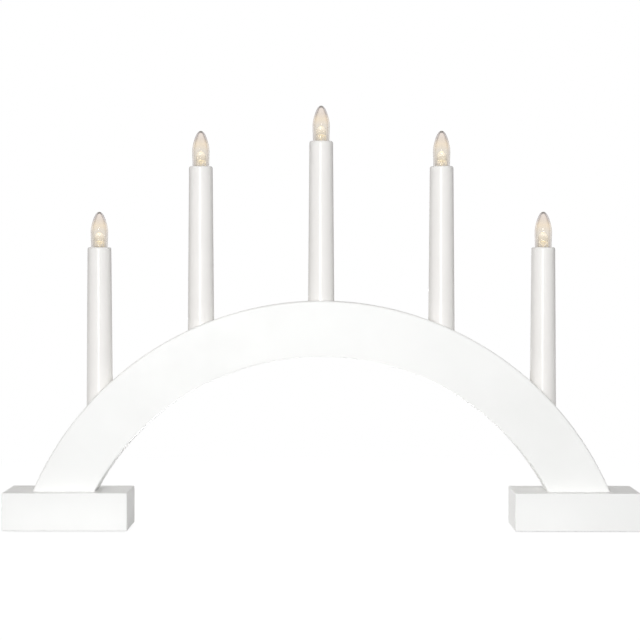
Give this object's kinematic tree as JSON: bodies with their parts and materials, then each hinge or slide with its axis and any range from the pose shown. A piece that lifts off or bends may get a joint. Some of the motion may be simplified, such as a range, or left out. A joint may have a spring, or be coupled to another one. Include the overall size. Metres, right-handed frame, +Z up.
{
  "type": "electric candlestick arch",
  "caption": "Electric window candlestick: a white arched board on block feet carries upright candle sleeves with clear pointed screw-in lamps, wired through the arch.",
  "frame": {"origin": "middle of the footprint, on the plane that the felt strips stand on", "axes": "+X along the arch, to the right seen from the front; +Y to the back; +Z up"},
  "size_m": [0.4526, 0.05, 0.304],
  "materials": {
    "painted_board": "satin white paint on a smooth board",
    "sleeve_plastic": "glossy white moulded plastic",
    "clear_plastic": "clear moulded plastic, warm from the light inside",
    "led_resin": "lit clear resin over a warm white chip",
    "nickel_plate": "bright nickel plate",
    "brass": "bright stamped brass",
    "spring_steel": "drawn spring wire",
    "zinc_steel": "bright zinc plate",
    "holder_plastic": "matte white moulded plastic",
    "wire_sheath": "smooth white cable sheath",
    "felt": "pressed felt"
  },
  "bodies": {
    "stand": {"arch_board": "painted_board", "groove_cover": "holder_plastic", "cord_grommet": "holder_plastic", "foot_left": "painted_board", "foot_right": "painted_board", "foot_screw_left_inner": "zinc_steel", "foot_screw_left_outer": "zinc_steel", "foot_screw_right_inner": "zinc_steel", "foot_screw_right_outer": "zinc_steel", "felt_strip_left_inner": "felt", "felt_strip_left_outer": "felt", "felt_strip_right_inner": "felt", "felt_strip_right_outer": "felt", "candle_sleeve_1": "sleeve_plastic", "candle_sleeve_2": "sleeve_plastic", "candle_sleeve_3": "sleeve_plastic", "candle_sleeve_4": "sleeve_plastic", "candle_sleeve_5": "sleeve_plastic", "lamp_holder_1": "holder_plastic", "lamp_holder_2": "holder_plastic", "lamp_holder_3": "holder_plastic", "lamp_holder_4": "holder_plastic", "lamp_holder_5": "holder_plastic", "thread_shell_1": "brass", "thread_shell_2": "brass", "thread_shell_3": "brass", "thread_shell_4": "brass", "thread_shell_5": "brass", "link_wire_1_2": "wire_sheath", "link_wire_2_3": "wire_sheath", "link_wire_3_4": "wire_sheath", "link_wire_4_5": "wire_sheath", "live_lead": "wire_sheath", "return_lead": "wire_sheath"},
    "contact_1": {"contact_pin_1": "brass", "contact_spring_1": "spring_steel"},
    "bulb_1": {"bulb_envelope_1": "clear_plastic", "bulb_led_1": "led_resin", "bulb_cap_1": "nickel_plate"},
    "contact_2": {"contact_pin_2": "brass", "contact_spring_2": "spring_steel"},
    "bulb_2": {"bulb_envelope_2": "clear_plastic", "bulb_led_2": "led_resin", "bulb_cap_2": "nickel_plate"},
    "contact_3": {"contact_pin_3": "brass", "contact_spring_3": "spring_steel"},
    "bulb_3": {"bulb_envelope_3": "clear_plastic", "bulb_led_3": "led_resin", "bulb_cap_3": "nickel_plate"},
    "contact_4": {"contact_pin_4": "brass", "contact_spring_4": "spring_steel"},
    "bulb_4": {"bulb_envelope_4": "clear_plastic", "bulb_led_4": "led_resin", "bulb_cap_4": "nickel_plate"},
    "contact_5": {"contact_pin_5": "brass", "contact_spring_5": "spring_steel"},
    "bulb_5": {"bulb_envelope_5": "clear_plastic", "bulb_led_5": "led_resin", "bulb_cap_5": "nickel_plate"}
  },
  "joints": [
    {"name": "contact_rise_1", "type": "slide", "parent": "stand", "child": "contact_1", "axis": [0, 0, 1], "range_m": [0, 0.00363], "deforming": ["contact_spring_1"]},
    {"name": "bulb_turn_1", "type": "hinge", "parent": "contact_1", "child": "bulb_1", "pos_m": [-0.15949, 0, 0.20238], "axis": [0, 0, 1], "range_deg": [0, 720]},
    {"name": "contact_rise_2", "type": "slide", "parent": "stand", "child": "contact_2", "axis": [0, 0, 1], "range_m": [0, 0.00363], "deforming": ["contact_spring_2"]},
    {"name": "bulb_turn_2", "type": "hinge", "parent": "contact_2", "child": "bulb_2", "pos_m": [-0.08644, 0, 0.26045], "axis": [0, 0, 1], "range_deg": [0, 720]},
    {"name": "contact_rise_3", "type": "slide", "parent": "stand", "child": "contact_3", "axis": [0, 0, 1], "range_m": [0, 0.00363], "deforming": ["contact_spring_3"]},
    {"name": "bulb_turn_3", "type": "hinge", "parent": "contact_3", "child": "bulb_3", "pos_m": [0, 0, 0.2785], "axis": [0, 0, 1], "range_deg": [0, 720]},
    {"name": "contact_rise_4", "type": "slide", "parent": "stand", "child": "contact_4", "axis": [0, 0, 1], "range_m": [0, 0.00363], "deforming": ["contact_spring_4"]},
    {"name": "bulb_turn_4", "type": "hinge", "parent": "contact_4", "child": "bulb_4", "pos_m": [0.08644, 0, 0.26045], "axis": [0, 0, 1], "range_deg": [0, 720]},
    {"name": "contact_rise_5", "type": "slide", "parent": "stand", "child": "contact_5", "axis": [0, 0, 1], "range_m": [0, 0.00363], "deforming": ["contact_spring_5"]},
    {"name": "bulb_turn_5", "type": "hinge", "parent": "contact_5", "child": "bulb_5", "pos_m": [0.15949, 0, 0.20238], "axis": [0, 0, 1], "range_deg": [0, 720]}
  ],
  "couplings": [
    {"joint": "contact_rise_1", "follows": "bulb_turn_1", "m_per_rad": 0.00028871},
    {"joint": "contact_rise_2", "follows": "bulb_turn_2", "m_per_rad": 0.00028871},
    {"joint": "contact_rise_3", "follows": "bulb_turn_3", "m_per_rad": 0.00028871},
    {"joint": "contact_rise_4", "follows": "bulb_turn_4", "m_per_rad": 0.00028871},
    {"joint": "contact_rise_5", "follows": "bulb_turn_5", "m_per_rad": 0.00028871}
  ]
}
